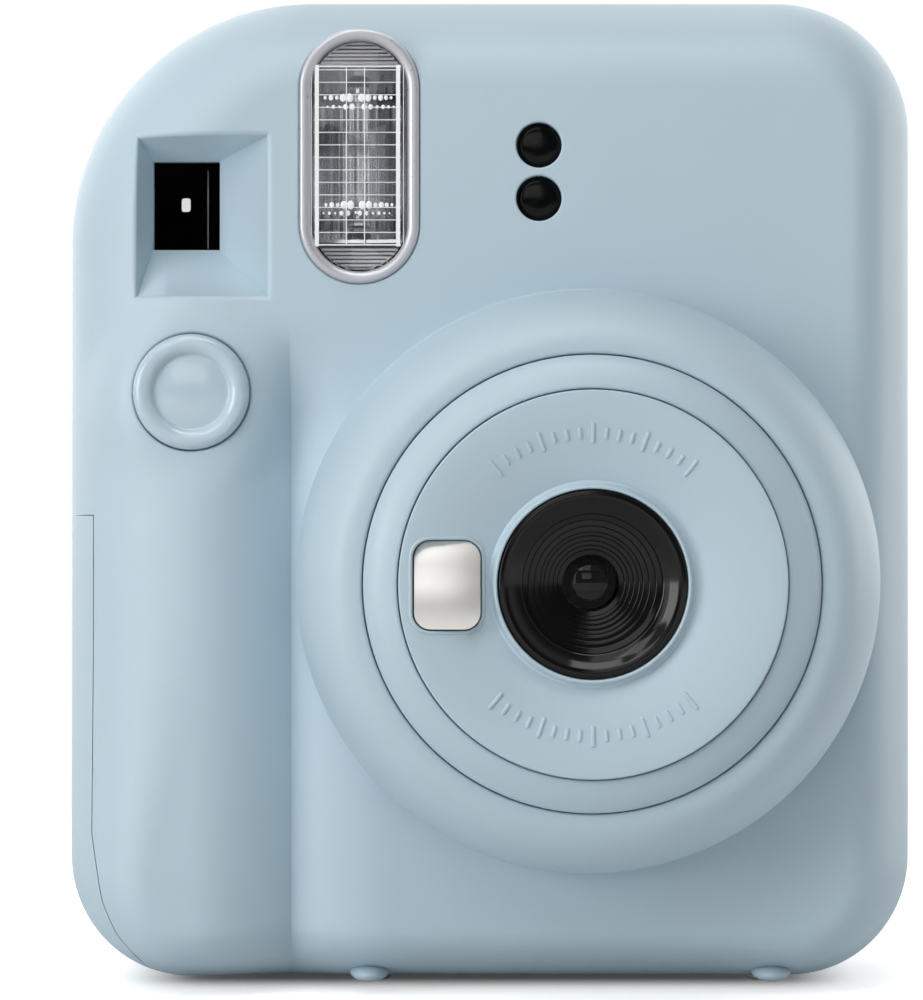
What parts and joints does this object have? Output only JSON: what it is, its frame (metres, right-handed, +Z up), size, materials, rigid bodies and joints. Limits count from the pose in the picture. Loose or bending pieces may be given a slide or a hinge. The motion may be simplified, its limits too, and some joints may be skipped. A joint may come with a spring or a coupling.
{
  "type": "instant film camera",
  "caption": "Compact instant film camera with a turning lens ring, pop-out lens, shutter button, flash, finder, hinged film door and battery door.",
  "frame": {"origin": "under the middle of the camera, on the surface that its feet stand on", "axes": "+Z up, +Y from the lens side to the film door, +X to the right as the camera is seen from the front"},
  "size_m": [0.104, 0.0666, 0.122],
  "materials": {
    "shell_blue": "fine-textured pale blue moulded plastic",
    "black_plastic": "matte black moulded plastic",
    "glossy_black": "glossy black plastic",
    "clear_plastic": "clear polished plastic",
    "lens_glass": "coated optical glass",
    "satin_metal": "satin bright metal",
    "steel": "plain steel",
    "white_plastic": "natural white moulded plastic",
    "film_black": "matte black plastic case with sheets inside",
    "board_green": "green lacquered circuit board",
    "cell_wrap": "plain printed sleeve on a metal can"
  },
  "bodies": {
    "camera_body": {"front_cover": "shell_blue", "rear_cover": "shell_blue", "focus_sleeve": "black_plastic", "dark_box": "black_plastic", "chassis": "black_plastic", "film_pack": "film_black", "film_motor": "steel", "flash_window": "clear_plastic", "flash_reflector": "satin_metal", "flash_tube": "clear_plastic", "flash_capacitor": "glossy_black", "sensor_window_upper": "glossy_black", "sensor_window_lower": "glossy_black", "circuit_board": "board_green", "finder_objective": "glossy_black", "finder_tube": "black_plastic", "eyepiece_frame": "black_plastic", "eyepiece_lens": "clear_plastic", "shutter_switch": "black_plastic", "battery_holder": "black_plastic", "battery_front": "cell_wrap", "battery_back": "cell_wrap", "battery_contact_bottom": "steel", "battery_contact_top": "steel", "counter_window": "clear_plastic", "strap_pocket": "shell_blue", "strap_bar": "steel", "hinge_pin": "steel", "foot_front_left": "shell_blue", "foot_front_right": "shell_blue", "foot_back_left": "shell_blue", "foot_back_right": "shell_blue", "cover_screw_1": "steel", "cover_screw_2": "steel", "cover_screw_3": "steel", "cover_screw_4": "steel"},
    "lens_ring": {"lens_ring": "shell_blue"},
    "lens_barrel": {"lens_barrel": "shell_blue", "selfie_mirror": "satin_metal", "lens_bezel": "black_plastic", "front_lens": "lens_glass", "rear_lens": "lens_glass", "aperture_plate": "black_plastic"},
    "shutter_blade": {"shutter_blade": "black_plastic"},
    "shutter_button": {"shutter_button": "shell_blue"},
    "battery_door": {"battery_door": "shell_blue"},
    "back_door": {"back_door": "shell_blue", "door_window": "clear_plastic", "pressure_pad_left": "steel", "pressure_pad_right": "steel"},
    "door_latch": {"door_latch": "shell_blue"},
    "drive_roller": {"drive_roller": "steel"},
    "pinch_roller": {"pinch_roller": "steel"},
    "reduction_gear": {"reduction_gear": "white_plastic"},
    "motor_pinion": {"motor_pinion": "white_plastic"},
    "film_claw": {"film_claw": "steel"},
    "counter_wheel": {"counter_wheel": "white_plastic"}
  },
  "joints": [
    {"name": "lens_ring_turn", "type": "hinge", "parent": "camera_body", "child": "lens_ring", "pos_m": [0.0116, -0.023, 0.0502], "axis": [0, -1, 0], "range_deg": [0, 90]},
    {"name": "lens_barrel_extend", "type": "slide", "parent": "camera_body", "child": "lens_barrel", "axis": [0, -1, 0], "range_m": [0, 0.008]},
    {"name": "shutter_blade_swing", "type": "hinge", "parent": "lens_barrel", "child": "shutter_blade", "pos_m": [0.0158, -0.0188, 0.0502], "axis": [0, 1, 0], "range_deg": [0, 45], "stiffness_Nm_per_rad": 0.000005},
    {"name": "shutter_button_press", "type": "slide", "parent": "camera_body", "child": "shutter_button", "axis": [0, 1, 0], "range_m": [0, 0.0012], "stiffness_N_per_m": 400, "springref_m": -0.0005},
    {"name": "battery_door_slide", "type": "slide", "parent": "camera_body", "child": "battery_door", "axis": [0, 0, -1], "range_m": [0, 0.006]},
    {"name": "back_door_swing", "type": "hinge", "parent": "camera_body", "child": "back_door", "pos_m": [0.0456, 0.0292, 0.0585], "axis": [0, 0, -1], "range_deg": [0, 110]},
    {"name": "door_latch_slide", "type": "slide", "parent": "back_door", "child": "door_latch", "axis": [1, 0, 0], "range_m": [0, 0.0022], "stiffness_N_per_m": 300, "springref_m": -0.0005},
    {"name": "drive_roller_spin", "type": "hinge", "parent": "camera_body", "child": "drive_roller", "pos_m": [0.0126, 0.0096, 0.1076], "axis": [1, 0, 0], "continuous": true},
    {"name": "pinch_roller_spin", "type": "hinge", "parent": "camera_body", "child": "pinch_roller", "pos_m": [0.0126, 0.016, 0.1076], "axis": [1, 0, 0], "continuous": true},
    {"name": "reduction_gear_spin", "type": "hinge", "parent": "camera_body", "child": "reduction_gear", "pos_m": [0.0444, 0.00507, 0.09914], "axis": [1, 0, 0], "continuous": true},
    {"name": "motor_pinion_spin", "type": "hinge", "parent": "camera_body", "child": "motor_pinion", "pos_m": [0.0444, 0, 0.106], "axis": [1, 0, 0], "continuous": true},
    {"name": "film_claw_lift", "type": "slide", "parent": "camera_body", "child": "film_claw", "axis": [0, 0, 1], "range_m": [0, 0.012]},
    {"name": "counter_wheel_turn", "type": "hinge", "parent": "camera_body", "child": "counter_wheel", "pos_m": [-0.038, 0.027, 0.04], "axis": [0, 1, 0], "range_deg": [0, 300]}
  ],
  "couplings": [
    {"joint": "lens_barrel_extend", "follows": "lens_ring_turn", "m_per_rad": 0.00509},
    {"joint": "pinch_roller_spin", "follows": "drive_roller_spin", "ratio": -1},
    {"joint": "reduction_gear_spin", "follows": "drive_roller_spin", "ratio": -0.5},
    {"joint": "motor_pinion_spin", "follows": "drive_roller_spin", "ratio": 1.5}
  ]
}
